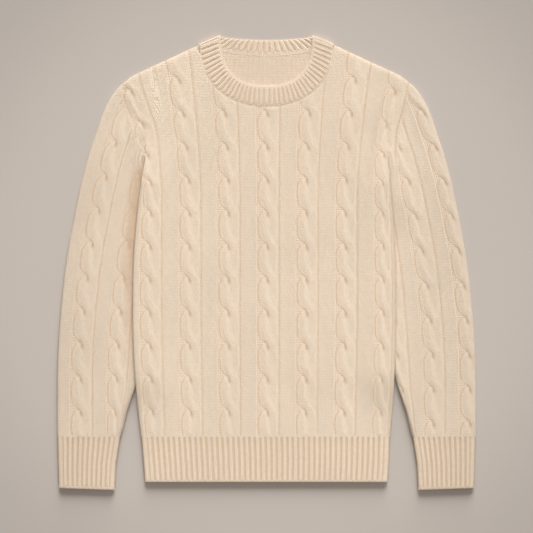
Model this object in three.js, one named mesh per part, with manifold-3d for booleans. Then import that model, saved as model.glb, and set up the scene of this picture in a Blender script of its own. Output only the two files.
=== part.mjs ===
// A cable knit crew neck sweater laid flat on its back, sleeves beside the body.
// Millimetres. +X is the wearer's left, +Y runs from hem to neck, +Z is up from the surface.
// The origin is on the surface, under the middle of the garment's outline.
import * as THREE from "three";
import { mergeVertices } from "three/addons/utils/BufferGeometryUtils.js";
import Module from "manifold-3d";

// Cloth
const WALL = 2.4; // plain knit, without cables or ribs
const SEAM_GAP = 0.3;
const ARMHOLE_GAP = 0.45; // along x, as the seam slants
const AIR = 1.6; // between the two layers that lie on each other
const FRONT_HEIGHT = 2 * WALL + AIR;
const MID_HEIGHT = FRONT_HEIGHT / 2; // where the layers meet at a fold
const FOLD_RADIUS = 8; // how far in from a fold the cloth reaches its full height
const WOOL_COLOUR = 0xebdac6;
const WOOL_ROUGHNESS = 0.95;

// Cables, and the plain strips between them
const CABLE_PITCH = 60.5; // across the body, middle to middle
const CABLES_EACH_SIDE = 3; // besides the middle one
const MIDDLE_CABLE_X = 1;
const CABLE_HEIGHT = 3.2;
const STRIP_HEIGHT = 1.1; // plain strips above the purl gutters
const STRAND_OFFSET = 7; // from the cable's middle to each strand's middle
const STRAND_HALF = 8;
const GUTTER_OFFSET = 16.3;
const STRIP_EDGE = 18.8; // from the cable's middle to the nearest plain strip
const CROSSING_HALF = 16;
const OVER_LIFT = 0.12; // share by which the upper strand rises at a crossing
const UNDER_DIP = 0.75; // share by which the lower strand sinks there
const BODY_KNIT = { crossingY: -229.4, pitch: 51.5 };
const OUTER_CABLE_LAG = 18; // the outermost cables lean, so their crossings lie lower near the shoulder
const OUTER_LAG_RISES = [60, 230];
const SHOULDER_SPREAD = 0.13; // share by which the cables spread between these two levels
const SHOULDER_SPREADS = { from: 96.9, to: 283, power: 1.5 };
const HEM_DRAW = 0.02; // share by which they draw in towards the hem
const HEM_DRAWS_FROM = -60;

// Ribbing
const RIB_HEIGHT = 1.3;
const HEM_RIBS = 46;
const CUFF_RIBS = 12;
const NECK_FRONT_RIBS = 39;
const NECK_BACK_RIBS = 19;
const BACK_RIB_SHARE = 0.7; // of the rib height, inside the back of the neckband
const RIB_SECTION = [
  { phase: 0.12, raised: 0 },
  { phase: 0.34, raised: 1 },
  { phase: 0.66, raised: 1 },
  { phase: 0.88, raised: 0 },
];

// Levels along the garment
const RIB_TOP_Y = -269.7;
const UNDERARM_Y = 163.5;
const SHOULDER_POINT_Y = 275.1;
const SLEEVE_TOP_Y = 269.5;

// Neckline, and the band round it
const NECK_HALF = 104; // half width of the neckline at the shoulder seams
const NECK_Y = 337;
const FRONT_NECK_DROP = 95.5;
const BACK_NECK_DROP = 17;
const NECK_SQUARENESS = 2.15; // exponent of the front neckline's superellipse
const BAND_HALF = 70.5; // half width of the opening inside the band
const BAND_Y = 350.5;
const BAND_FRONT_DROP = 75.5;
const BAND_BACK_DROP = 5;
const BAND_SQUARENESS = 2.5;
const BAND_WALL = 3;
const BAND_FRONT_Z = 5.1; // middle of the band's wall
const BAND_BACK_Z = BAND_WALL / 2;
const BAND_EDGE = 1.2; // how much each face draws in at the band's edges
const BAND_SECTION = [
  { at: 0, lift: 0.4 },
  { at: 0.1, lift: 1 },
  { at: 1, lift: 0.6 },
];
const BAND_TURNS = [0.2, 0.5, 0.8]; // sections of the hairpin at each corner
const BACK_RIBS_FADE = [0.9, 0.74]; // shares of the half width, where the front half starts to cover them
const BAND_PLAIN = { back: 16, front: 32 }; // sections of the faces without ribs

// Side edges of the body: left is the offset on the side of negative x, right on the other.
const BODY_EDGE = [
  { y: -269.7, left: 194.9, right: 191.8 },
  { y: -213, left: 201.1, right: 196.5 },
  { y: -135.6, left: 206.1, right: 199.6 },
  { y: -58, left: 207.3, right: 200.3 },
  { y: 19.4, left: 205, right: 198.8 },
  { y: 96.9, left: 198, right: 194.1 },
  { y: 135.6, left: 192.6, right: 191 },
  { y: 163.5, left: 187.6, right: 187.6 },
  { y: 196.1, left: 188.3, right: 188.3 },
  { y: 214.7, left: 193.3, right: 193.3 },
  { y: 230.2, left: 202, right: 202 },
  { y: 245.7, left: 210, right: 210 },
  { y: 262.7, left: 219, right: 219 },
  { y: 275.1, left: 226.5, right: 226.5 },
];

// Shoulder seam from the neck outwards.
const SHOULDER = [
  { x: 104, y: 338.4 },
  { x: 150, y: 316.8 },
  { x: 190, y: 298.4 },
  { x: 209, y: 289.1 },
  { x: 226.5, y: 275.1 },
];
const SHOULDER_COSINE = 0.9; // of the seam's slope
const SHOULDER_STARTS = [90, 108]; // offsets between which the fold over the shoulder begins
const ARMHOLE_OPENS = [150, 176]; // levels between which the folded side gives way to the armhole

// Hem band, and a cuff with both ends of its width
const HEM = [
  { y: -341, left: 188.8, right: 188.2 },
  { y: -310, left: 191.2, right: 190.2 },
  { y: -270, left: 194.6, right: 191.5 },
];
const CUFF = [
  { outer: 322.4, outerY: -350.4, inner: 235.6, innerY: -353.4 },
  { outer: 323.5, outerY: -312, inner: 233.4, innerY: -313 },
  { outer: 324.6, outerY: -270, inner: 226.6, innerY: -270 },
];

// Outer fold of a sleeve, and its inner fold, which the body hides above -195
const SLEEVE_OUTER = [
  { y: -269.7, x: 324.8 },
  { y: -175.9, x: 324.8 },
  { y: -120.1, x: 322.8 },
  { y: -64.3, x: 318.4 },
  { y: -17.8, x: 313.5 },
  { y: 28.7, x: 306.5 },
  { y: 75.2, x: 297.5 },
  { y: 121.7, x: 287.9 },
  { y: 168.2, x: 275.5 },
  { y: 196.1, x: 266.2 },
  { y: 224, x: 256.9 },
  { y: 242.6, x: 249.2 },
  { y: 261.2, x: 238.3 },
  { y: 275.1, x: 227.1 },
];
const SLEEVE_INNER = [
  { y: -269.7, x: 226.2 },
  { y: -255, x: 222 },
  { y: -231.7, x: 216.6 },
  { y: -213.1, x: 210.4 },
  { y: -194.5, x: 204.2 },
  { y: -160, x: 196 },
  { y: -120, x: 190 },
  { y: -58, x: 184 },
  { y: 20, x: 178 },
  { y: 75, x: 175.5 },
  { y: 105, x: 178 },
  { y: 125, x: 188 },
  { y: 140, x: 194 },
  { y: 150, x: 192 },
  { y: 163.5, x: 188.6 },
];
const SLEEVE_FLAT = 70; // from the outer fold to where the cloth starts to turn under
const SLEEVE_WIDTH = 134; // at its widest

// Cables of each sleeve, from the outer fold to their middles
const SLEEVE_LEFT = { side: 1, cables: [7.8, 64.3, 121], knit: { crossingY: -246.5, pitch: 53.6 } };
const SLEEVE_RIGHT = { side: -1, cables: [38.5, 95.3], knit: { crossingY: -229.4, pitch: 52.2 } };

const RELIEF_CLEARS = [1, 8]; // beyond the body's side, where the sleeve is no longer pressed flat

// The body's sides ride up over the sleeves that are tucked under them.
const TUCK_LIFT = 6.9;
const TUCK_ACROSS = [72, 30]; // from the body's side, where the lift starts and is full
const TUCK_TOP = [162, 138];
const TUCK_BOTTOM = [-238, -168];

// Where the meshes have their columns and rows
const CABLE_COLUMNS = [
  { x: -STRIP_EDGE, onCable: false },
  { x: -GUTTER_OFFSET, onCable: false },
  { x: -12.5, onCable: true },
  { x: -STRAND_OFFSET, onCable: true },
  { x: 0, onCable: true },
  { x: STRAND_OFFSET, onCable: true },
  { x: 12.5, onCable: true },
  { x: GUTTER_OFFSET, onCable: false },
  { x: STRIP_EDGE, onCable: false },
];
const CROSSING_ROWS = [-19.5, -9, 0, 9, 19.5];
const WRAP_FROM = 2.5; // in cable pitches: beyond it the body starts to turn under at its sides
const WRAP_TO = 3.45;
const WRAP_LINES = [2.5, 3.38, 3.42, WRAP_TO];
const SHEET_LINES = [1, 2, 2.25, 2.5, 2.75, 3, 3.25, 3.39, WRAP_TO];
const TUCK_LINES = 1.6; // beyond it the rows are close enough for the tuck
const ARMHOLE_LINES = 3.3; // beyond it they are close enough for the armhole
const SLEEVE_FOLD_LINES = [0, 1.2, 4, 78, 112, 128, SLEEVE_WIDTH];
const FOLD_PLACES = [0, 1.2, 4, 8]; // distances in from a fold on the ribbed tubes
const CABLE_FROM_FOLD = 5;
const LAST_CABLE_LINE = 122; // the body hides the rest
const PLAIN_ROWS = 8;
const TUCK_ROWS = [-240, -221, -203, -184, -165, -120, -40, 40, 100];
const TUCK_END = [122, UNDERARM_Y];
const TUCK_END_ROWS = 5;
const CHEST_ROWS = [200, 250];
const ARMHOLE_ROWS = 10;
const SLEEVE_ROWS = [-230, -179, -128, -77, -27, 24, 75, 95, 109, 122, 136, 150, UNDERARM_Y, 185, 206, 227, 248];
const LEAST_ROW = 3;
const NECK_POINTS = 40;
const ARMHOLE_POINTS = 12;
const BAND_SAMPLES = 200;
const CUT_DEPTH = 60;
const CUT_PAST = 30;

const { clamp, lerp, smoothstep } = THREE.MathUtils;

// Rises from 0 at `from` to 1 at `to`, in either direction.
const ease = (from, to, value) => (from < to ? smoothstep(value, from, to) : 1 - smoothstep(value, to, from));

// Even numbers from `from` to `to`, both included.
const evenly = (from, to, parts) => Array.from({ length: parts + 1 }, (_, i) => lerp(from, to, i / parts));

// One column of a table as a smooth curve over another, which rises from row to row.
function curve(rows, key, value) {
  const t = rows.map((row) => row[key]);
  const v = rows.map((row) => row[value]);
  const last = t.length - 1;
  const slope = t.map((_, i) => {
    const before = Math.max(i - 1, 0);
    const after = Math.min(i + 1, last);
    return (v[after] - v[before]) / (t[after] - t[before]);
  });
  return (at) => {
    if (at <= t[0]) return v[0];
    if (at >= t[last]) return v[last];
    let i = 0;
    while (at > t[i + 1]) i += 1;
    const h = t[i + 1] - t[i];
    const s = (at - t[i]) / h;
    const s2 = s * s;
    const s3 = s2 * s;
    return (
      (2 * s3 - 3 * s2 + 1) * v[i] +
      (s3 - 2 * s2 + s) * h * slope[i] +
      (3 * s2 - 2 * s3) * v[i + 1] +
      (s3 - s2) * h * slope[i + 1]
    );
  };
}

const byHeight = (rows) => [...rows].sort((a, b) => a.y - b.y);
const edgeAt = { "-1": curve(BODY_EDGE, "y", "left"), 1: curve(BODY_EDGE, "y", "right") };
const shoulderY = curve(SHOULDER, "x", "y");
const sleeveOuter = curve(byHeight(SLEEVE_OUTER), "y", "x");
const sleeveInner = curve(byHeight(SLEEVE_INNER), "y", "x");
const sideOf = (x) => (x < 0 ? -1 : 1);

// How far the cloth has risen at a distance in from a fold: 0 at the fold, 1 on the flat.
function roundOver(distance, radius) {
  const q = clamp(distance / radius, 0, 1);
  return Math.sqrt(1 - (1 - q) ** 2);
}

// Squeezes the span from `start` to `end` so that it ends at `edge`, more and more as the cloth turns away.
function turnAway(at, start, end, edge) {
  if (at <= start) return at;
  const room = edge - start;
  const t = clamp((at - start) / (end - start), 0, 1);
  return start + room * (1 - (1 - t) ** Math.min(2, (end - start) / room));
}

// Knitting

// Cable height above the gutters, at x from the cable's middle. Seen from above with the neck at the top, the strand
// that passes over runs from the upper left to the lower right.
function cableHeight(x, y, { crossingY, pitch }) {
  const turns = (y - crossingY) / pitch;
  const above = (turns - Math.round(turns)) * pitch;
  const c = clamp(-above / CROSSING_HALF, -1, 1);
  const swing = STRAND_OFFSET * Math.sin((c * Math.PI) / 2);
  const middle = Math.cos((c * Math.PI) / 2);
  const strand = (offset) => Math.sqrt(Math.max(0, 1 - (offset / STRAND_HALF) ** 2));
  const over = (1 + OVER_LIFT * middle) * strand(x - swing);
  const under = (1 - UNDER_DIP * middle) * strand(x + swing);
  return CABLE_HEIGHT * Math.max(over, under);
}

function knitRelief(x, y, knit) {
  if (Math.abs(x) >= STRIP_EDGE) return STRIP_HEIGHT;
  if (Math.abs(x) >= GUTTER_OFFSET) return 0;
  return cableHeight(x, y, knit);
}

// Heights of the points of a column that runs over a cable: they follow its crossings.
function cableRows(bottom, top, { crossingY, pitch }, lag = () => 0) {
  const rows = [];
  for (let y = crossingY - 2 * pitch; y < top + pitch; y += pitch) {
    rows.push(...CROSSING_ROWS.map((offset) => y - lag(y) + offset));
  }
  return between(bottom, top, rows);
}

const between = (bottom, top, rows) => [
  bottom,
  ...rows.filter((y) => y > bottom + LEAST_ROW && y < top - LEAST_ROW),
  top,
];
const sideRows = [...TUCK_ROWS, ...evenly(...TUCK_END, TUCK_END_ROWS)];
const tuckRows = [...sideRows, ...CHEST_ROWS];
const armholeRows = [...sideRows.slice(0, -1), ...evenly(UNDERARM_Y, SHOULDER_POINT_Y, ARMHOLE_ROWS)];
const plainRows = evenly(RIB_TOP_Y, NECK_Y, PLAIN_ROWS);

// Meshes

// Joins two columns of point indices with triangles, taking at each step the shorter diagonal.
function zip(triangles, a, b, points) {
  let i = 0;
  let j = 0;
  while (i < a.length - 1 || j < b.length - 1) {
    const stepA = i < a.length - 1 ? points[a[i + 1]].distanceToSquared(points[b[j]]) : Infinity;
    const stepB = j < b.length - 1 ? points[b[j + 1]].distanceToSquared(points[a[i]]) : Infinity;
    if (stepA <= stepB) {
      triangles.push([a[i], b[j], a[i + 1]]);
      i += 1;
    } else {
      triangles.push([a[i], b[j], b[j + 1]]);
      j += 1;
    }
  }
}

// A wall of cloth between an outer and an inner skin, each a list of columns of points. A closed wall is a tube.
function wall(outerSkin, innerSkin, closed) {
  const points = [];
  const triangles = [];
  const number = (skin) => skin.map((column) => column.map((point) => points.push(point) - 1));
  const outer = number(outerSkin);
  const inner = number(innerSkin);
  const round = (skin) => (closed ? [...skin, skin[0]] : skin);
  const rim = (skin, end) => round(skin).map((column) => column.at(end));
  const join = (from, to) => zip(triangles, from, to, points);
  round(outer).forEach((column, i, all) => i && join(all[i - 1], column));
  round(inner).forEach((column, i, all) => i && join(column, all[i - 1]));
  join(rim(outer, 0), rim(inner, 0));
  join(rim(inner, -1), rim(outer, -1));
  if (!closed) {
    join(inner[0], outer[0]);
    join(outer.at(-1), inner.at(-1));
  }
  return geometryOf(points, triangles);
}

// A geometry with its faces turned outwards.
function geometryOf(points, triangles) {
  let volume = 0;
  for (const [a, b, c] of triangles) {
    volume += points[a].dot(new THREE.Vector3().crossVectors(points[b], points[c]));
  }
  const faces = volume < 0 ? triangles.map(([a, b, c]) => [a, c, b]) : triangles;
  const geometry = new THREE.BufferGeometry().setFromPoints(points);
  geometry.setIndex(faces.flat());
  return geometry;
}

const wasm = await Module();
wasm.setup();

function solidOf(geometry) {
  const merged = geometry.clone();
  merged.deleteAttribute("normal");
  merged.deleteAttribute("uv");
  const { attributes, index } = mergeVertices(merged, 1e-4);
  const vertProperties = new Float32Array(attributes.position.array);
  return new wasm.Manifold(new wasm.Mesh({ numProp: 3, vertProperties, triVerts: new Uint32Array(index.array) }));
}

// Cuts away everything over or under a flat outline, given as [x, y] pairs.
function cutAway(geometry, outline) {
  const shape = new THREE.Shape(outline.map(([x, y]) => new THREE.Vector2(x, y)));
  const prism = new THREE.ExtrudeGeometry(shape, { depth: CUT_DEPTH, bevelEnabled: false });
  prism.translate(0, 0, -CUT_DEPTH / 2);
  const { vertProperties, triVerts } = solidOf(geometry).subtract(solidOf(prism)).getMesh();
  const cut = new THREE.BufferGeometry();
  cut.setAttribute("position", new THREE.BufferAttribute(vertProperties, 3));
  cut.setIndex(new THREE.BufferAttribute(triVerts, 1));
  return cut;
}

// The body

// The cables spread towards the shoulders and draw in a little towards the hem.
function spread(y) {
  const { from, to, power } = SHOULDER_SPREADS;
  const shoulders = SHOULDER_SPREAD * Math.max(0, (y - from) / (to - from)) ** power;
  return 1 + shoulders - HEM_DRAW * ease(HEM_DRAWS_FROM, RIB_TOP_Y, y);
}

// x of a line of stitches, which is numbered in cable pitches from the middle cable.
function bodyX(line, y, inset) {
  const side = sideOf(line);
  const pitch = CABLE_PITCH * spread(y);
  const edge = (edgeAt[side](y) - inset - side * MIDDLE_CABLE_X) / pitch;
  return MIDDLE_CABLE_X + side * pitch * turnAway(Math.abs(line), WRAP_FROM, WRAP_TO, edge);
}

// How far a point of the body has risen from its folds: the sides below the underarm, and the shoulder seams.
function bodyRise(x, y, inset) {
  const radius = FOLD_RADIUS - inset;
  const side = roundOver(edgeAt[sideOf(x)](y) - inset - Math.abs(x), radius);
  const shoulder = roundOver((shoulderY(Math.max(Math.abs(x), NECK_HALF)) - y) * SHOULDER_COSINE - inset, radius);
  return lerp(side, 1, ease(...ARMHOLE_OPENS, y)) * lerp(1, shoulder, ease(...SHOULDER_STARTS, Math.abs(x)));
}

// How high the body rides over a tucked sleeve.
function bodyLift(x, y) {
  const fromEdge = edgeAt[sideOf(x)](y) - Math.abs(x);
  return TUCK_LIFT * ease(...TUCK_BOTTOM, y) * ease(...TUCK_TOP, y) * ease(...TUCK_ACROSS, fromEdge);
}

const outerLag = (y) => OUTER_CABLE_LAG * ease(...OUTER_LAG_RISES, y);

function bodyRelief(line, y) {
  const cable = clamp(Math.round(line), -CABLES_EACH_SIDE, CABLES_EACH_SIDE);
  const lag = Math.abs(cable) === CABLES_EACH_SIDE ? outerLag(y) : 0;
  return knitRelief((line - cable) * CABLE_PITCH, y + lag, BODY_KNIT);
}

// A skin of the body. Its columns are lines of stitches, { line, cable } where they run over a cable.
function bodySkin({ lines, inset, z }) {
  return lines.map(({ line, cable }) => {
    const lag = Math.abs(line) > CABLES_EACH_SIDE - 0.5 ? outerLag : undefined;
    let seamY = SHOULDER_POINT_Y;
    for (let i = 0; i < 8; i += 1) seamY = shoulderY(Math.max(Math.abs(bodyX(line, seamY, 0)), NECK_HALF));
    const top = seamY - inset / SHOULDER_COSINE;
    const sides = Math.abs(line) > ARMHOLE_LINES ? armholeRows : tuckRows;
    const plain = Math.abs(line) > TUCK_LINES ? sides : plainRows;
    const rows = cable ? cableRows(RIB_TOP_Y, top, BODY_KNIT, lag) : between(RIB_TOP_Y, top, plain);
    return rows.map((y) => {
      const x = bodyX(line, y, inset * (1 - ease(...ARMHOLE_OPENS, y)));
      return new THREE.Vector3(x, y, bodyLift(x, y) + z(line, x, y));
    });
  });
}

function bodyLines() {
  const lines = [];
  for (let cable = -CABLES_EACH_SIDE; cable <= CABLES_EACH_SIDE; cable += 1) {
    for (const { x, onCable } of CABLE_COLUMNS) lines.push({ line: cable + x / CABLE_PITCH, cable: onCable });
  }
  for (const line of WRAP_LINES) lines.push({ line }, { line: -line });
  return lines.sort((a, b) => a.line - b.line);
}

const sheetLines = [...SHEET_LINES.map((line) => -line).reverse(), 0, ...SHEET_LINES].map((line) => ({ line }));

// The inside of a front neckline as [x, y] pairs: a superellipse, open at the top.
function scoop(half, y, drop, squareness, parts) {
  return evenly(0, Math.PI, parts).map((angle) => {
    const across = -half * Math.sign(Math.cos(angle)) * Math.abs(Math.cos(angle)) ** (2 / squareness);
    return [across, y - drop * Math.sin(angle) ** (2 / squareness)];
  });
}

const openTop = [
  [NECK_HALF, NECK_Y + CUT_PAST],
  [-NECK_HALF, NECK_Y + CUT_PAST],
];
const backNeckY = (x) => NECK_Y - BACK_NECK_DROP * (1 - (x / NECK_HALF) ** 2);

function front() {
  const seam = MID_HEIGHT + SEAM_GAP / 2;
  const outer = bodySkin({
    lines: bodyLines(),
    inset: 0,
    z: (line, x, y) => lerp(seam, FRONT_HEIGHT + bodyRelief(line, y), bodyRise(x, y, 0)),
  });
  const inner = bodySkin({
    lines: sheetLines,
    inset: WALL,
    z: (line, x, y) => lerp(seam, FRONT_HEIGHT - WALL, bodyRise(x, y, WALL)),
  });
  const neck = scoop(NECK_HALF, NECK_Y, FRONT_NECK_DROP, NECK_SQUARENESS, NECK_POINTS);
  return cutAway(wall(outer, inner, false), [...neck, ...openTop]);
}

function back() {
  const seam = MID_HEIGHT - SEAM_GAP / 2;
  const skin = (inset, flatZ) =>
    bodySkin({ lines: sheetLines, inset, z: (line, x, y) => lerp(seam, flatZ, bodyRise(x, y, inset)) });
  const outer = skin(0, 0);
  const inner = skin(WALL, WALL);
  return cutAway(wall(outer, inner, false), [...evenly(-NECK_HALF, NECK_HALF, NECK_POINTS).map((x) => [x, backNeckY(x)]), ...openTop]);
}

// Sleeves

const sleeveWidth = (y) => sleeveOuter(Math.min(y, UNDERARM_Y)) - sleeveInner(Math.min(y, UNDERARM_Y));

// x of a line of stitches that is `across` from the sleeve's outer fold.
function sleeveX(across, y, inset) {
  const width = sleeveWidth(y);
  const at = turnAway(across, SLEEVE_FLAT, SLEEVE_WIDTH, width);
  return sleeveOuter(y) - lerp(inset, width - inset, at / width);
}

function sleeveRise(x, y, inset) {
  const outer = sleeveOuter(y) - inset - x;
  const inner = x - inset - (sleeveOuter(y) - sleeveWidth(y));
  return roundOver(outer, FOLD_RADIUS - inset) * roundOver(inner, FOLD_RADIUS - inset);
}

// Relief on a sleeve, which is pressed flat where the body lies on it.
function sleeveRelief(across, x, y, { side, cables, knit }) {
  const nearest = cables.reduce((a, b) => (Math.abs(across - a) < Math.abs(across - b) ? a : b));
  const clear = y > UNDERARM_Y ? 1 : ease(...RELIEF_CLEARS, x - edgeAt[side](y));
  return clear * knitRelief(-side * (across - nearest), y, knit);
}


function sleeveLines(cables) {
  const lines = SLEEVE_FOLD_LINES.map((across) => ({ across }));
  for (const middle of cables) {
    for (const { x, onCable } of CABLE_COLUMNS) {
      const across = middle + x;
      if (across > CABLE_FROM_FOLD && across < LAST_CABLE_LINE) lines.push({ across, cable: onCable });
    }
  }
  return lines.sort((a, b) => a.across - b.across);
}

function sleeve(shape) {
  const lines = sleeveLines(shape.cables);
  const plain = SLEEVE_FOLD_LINES.map((across) => ({ across }));
  const skin = (chosen, inset, z) =>
    chosen.map(({ across, cable }) => {
      const rows = cable
        ? cableRows(RIB_TOP_Y, SLEEVE_TOP_Y, shape.knit)
        : between(RIB_TOP_Y, SLEEVE_TOP_Y, SLEEVE_ROWS);
      return rows.map((y) => {
        const x = sleeveX(across, y, inset);
        return new THREE.Vector3(shape.side * x, y, lerp(MID_HEIGHT, z(across, x, y), sleeveRise(x, y, inset)));
      });
    });
  const under = plain.slice(1, -1).reverse();
  const outer = [
    ...skin(lines, 0, (across, x, y) => FRONT_HEIGHT + sleeveRelief(across, x, y, shape)),
    ...skin(under, 0, () => 0),
  ];
  const inner = [...skin(plain, WALL, () => FRONT_HEIGHT - WALL), ...skin(under, WALL, () => WALL)];
  const seam = evenly(UNDERARM_Y, SHOULDER_POINT_Y, ARMHOLE_POINTS).map((y) => [
    shape.side * (edgeAt[shape.side](y) + ARMHOLE_GAP),
    y,
  ]);
  const inwards = [
    [shape.side * NECK_HALF, SHOULDER_POINT_Y],
    [shape.side * NECK_HALF, UNDERARM_Y],
  ];
  return cutAway(wall(outer, inner, true), [...seam, ...inwards]);
}

// Ribbing

// Places along a ribbed edge, from 0 to 1: { at, raised } for each foot and crest of each rib.
function ribPlaces(count) {
  const places = [];
  for (let rib = 0; rib < count; rib += 1) {
    for (const { phase, raised } of RIB_SECTION) places.push({ at: (rib + phase) / count, raised });
  }
  return places;
}

// A flat ribbed tube. Each row gives the two ends of the tube's width, `from` and `to`, as [x, y].
function ribbedTube(rows, ribs) {
  const point = ({ from, to }, at, inset, flatZ) => {
    const width = Math.hypot(to[0] - from[0], to[1] - from[1]);
    const distance = lerp(inset, width - inset, at);
    const radius = FOLD_RADIUS - inset;
    const rise = roundOver(distance - inset, radius) * roundOver(width - distance - inset, radius);
    const t = distance / width;
    return new THREE.Vector3(lerp(from[0], to[0], t), lerp(from[1], to[1], t), lerp(MID_HEIGHT, flatZ, rise));
  };
  const skin = (places, inset, z) => places.map((place) => rows.map((row) => point(row, place.at, inset, z(place))));
  const ribbed = [{ at: 0, raised: 0 }, ...ribPlaces(ribs), { at: 1, raised: 0 }];
  const { from, to } = rows[0];
  const foldPlaces = FOLD_PLACES.map((distance) => distance / Math.abs(to[0] - from[0]));
  const plain = [...foldPlaces, 0.5, ...foldPlaces.map((at) => 1 - at).reverse()].map((at) => ({ at }));
  const under = plain.slice(1, -1).reverse();
  const outer = [
    ...skin(ribbed, 0, ({ raised }) => FRONT_HEIGHT + RIB_HEIGHT * raised),
    ...skin(under, 0, () => 0),
  ];
  const inner = [...skin(plain, WALL, () => FRONT_HEIGHT - WALL), ...skin(under, WALL, () => WALL)];
  return wall(outer, inner, true);
}

function hemBand() {
  const rows = HEM.map(({ y, left, right }) => ({ from: [-left, y], to: [right, y] }));
  return ribbedTube(rows, HEM_RIBS);
}

function cuff(side) {
  const rows = CUFF.map(({ outer, outerY, inner, innerY }) => ({
    from: [side * outer, outerY],
    to: [side * inner, innerY],
  }));
  return ribbedTube(rows, CUFF_RIBS);
}

// A curve's point at a share of its length. Curves given together are read at the same place.
function alongCurve(curves) {
  const [first] = curves;
  const lengths = [0];
  for (let i = 1; i < first.length; i += 1) {
    lengths.push(lengths[i - 1] + Math.hypot(first[i][0] - first[i - 1][0], first[i][1] - first[i - 1][1]));
  }
  return (share) => {
    const target = share * lengths.at(-1);
    let i = 1;
    while (i < lengths.length - 1 && lengths[i] < target) i += 1;
    const part = (target - lengths[i - 1]) / (lengths[i] - lengths[i - 1]);
    return curves.map((points) => [0, 1].map((axis) => lerp(points[i - 1][axis], points[i][axis], part)));
  };
}

// The neckband is a ring that lies double, its front half on top, with a hairpin at each of its two corners. Each
// station gives the ends of its section, at the seam and at the free edge, and the direction of its outer face.
const SEAM_HALF = NECK_HALF - SEAM_GAP;
const bandFront = alongCurve([
  scoop(SEAM_HALF, NECK_Y, FRONT_NECK_DROP - SEAM_GAP, NECK_SQUARENESS, BAND_SAMPLES),
  scoop(BAND_HALF, BAND_Y, BAND_FRONT_DROP, BAND_SQUARENESS, BAND_SAMPLES),
]);

function frontStation({ at, raised }) {
  const [seam, free] = bandFront(at);
  return { seam, free, normal: [0, 0, 1], z: BAND_FRONT_Z, raised };
}

function backStation({ at, raised }) {
  const across = 1 - 2 * at;
  const seam = [SEAM_HALF * across, backNeckY(SEAM_HALF * across) + SEAM_GAP];
  const free = [BAND_HALF * across, BAND_Y - BAND_BACK_DROP * (1 - across ** 2)];
  return { seam, free, normal: [0, 0, -1], z: BAND_BACK_Z, raised };
}

function cornerStation(side, turn) {
  const angle = (Math.PI / 2) * (1 - 2 * turn);
  const out = new THREE.Vector2(side * (BAND_Y - NECK_Y), SEAM_HALF - BAND_HALF).normalize();
  const away = ((BAND_FRONT_Z - BAND_BACK_Z) / 2) * Math.cos(angle);
  return {
    seam: [side * SEAM_HALF + out.x * away, NECK_Y + out.y * away],
    free: [side * BAND_HALF + out.x * away, BAND_Y + out.y * away],
    normal: [out.x * Math.cos(angle), out.y * Math.cos(angle), Math.sin(angle)],
    z: lerp(BAND_BACK_Z, BAND_FRONT_Z, (1 + Math.sin(angle)) / 2),
    raised: 0,
  };
}

// One face of the band: face 1 is the outer one and face -1 the inner one.
function bandSkin(stations, face) {
  return stations.map(({ seam, free, normal, z, raised }) =>
    BAND_SECTION.map(({ at, lift }) => {
      const height = face * (BAND_WALL / 2 - BAND_EDGE * (1 - lift) + raised * lift * RIB_HEIGHT);
      return new THREE.Vector3(
        lerp(seam[0], free[0], at) + normal[0] * height,
        lerp(seam[1], free[1], at) + normal[1] * height,
        z + normal[2] * height,
      );
    }),
  );
}

function neckband() {
  const plain = (parts) => evenly(0, 1, parts).map((at) => ({ at, raised: 0 }));
  const ribbed = (count, share) => [
    { at: 0, raised: 0 },
    ...ribPlaces(count).map(({ at, raised }) => ({ at, raised: raised * share(at) })),
    { at: 1, raised: 0 },
  ];
  const ring = (frontPlaces, backPlaces) => [
    ...frontPlaces.map(frontStation),
    ...BAND_TURNS.map((turn) => cornerStation(1, turn)),
    ...backPlaces.map(backStation),
    ...[...BAND_TURNS].reverse().map((turn) => cornerStation(-1, turn)),
  ];
  // Ribs show inside the back of the band, where the front half doesn't cover it.
  const backRibs = ribbed(NECK_BACK_RIBS, (at) => BACK_RIB_SHARE * ease(...BACK_RIBS_FADE, Math.abs(1 - 2 * at)));
  const outer = bandSkin(ring(ribbed(NECK_FRONT_RIBS, () => 1), plain(BAND_PLAIN.back)), 1);
  const inner = bandSkin(ring(plain(BAND_PLAIN.front), backRibs), -1);
  return wall(outer, inner, true);
}

const garment = new THREE.Group();
const pieces = {
  front: front(),
  back: back(),
  sleeve_left: sleeve(SLEEVE_LEFT),
  sleeve_right: sleeve(SLEEVE_RIGHT),
  hem_band: hemBand(),
  cuff_left: cuff(1),
  cuff_right: cuff(-1),
  neckband: neckband(),
};
for (const [name, geometry] of Object.entries(pieces)) {
  geometry.computeVertexNormals();
  const wool = new THREE.MeshStandardMaterial({ color: WOOL_COLOUR, roughness: WOOL_ROUGHNESS, metalness: 0 });
  const mesh = new THREE.Mesh(geometry, wool);
  mesh.name = name;
  garment.add(mesh);
}

export default garment;
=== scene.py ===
"""A cable knit crew neck sweater in cream wool, laid flat on a pale surface and seen from straight above."""

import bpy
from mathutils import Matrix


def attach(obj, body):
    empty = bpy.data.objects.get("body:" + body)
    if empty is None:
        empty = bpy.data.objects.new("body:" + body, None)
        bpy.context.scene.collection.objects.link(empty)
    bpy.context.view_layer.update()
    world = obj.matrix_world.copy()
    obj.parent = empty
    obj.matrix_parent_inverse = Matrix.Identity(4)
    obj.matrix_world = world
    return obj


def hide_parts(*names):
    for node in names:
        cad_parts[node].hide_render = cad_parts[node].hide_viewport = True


bl_info = {
    "name": "Cable Knit Sweater",
    "version": (1, 0, 0),
    "blender": (4, 5, 0),
    "location": "View3D > Sidebar > Sweater",
    "description": "Builds a flat laid cable knit sweater round its packed model",
    "category": "Add Mesh",
}

import math

import bpy
import numpy as np
from bpy.props import FloatProperty, FloatVectorProperty, IntProperty, PointerProperty
from mathutils import Vector

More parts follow.
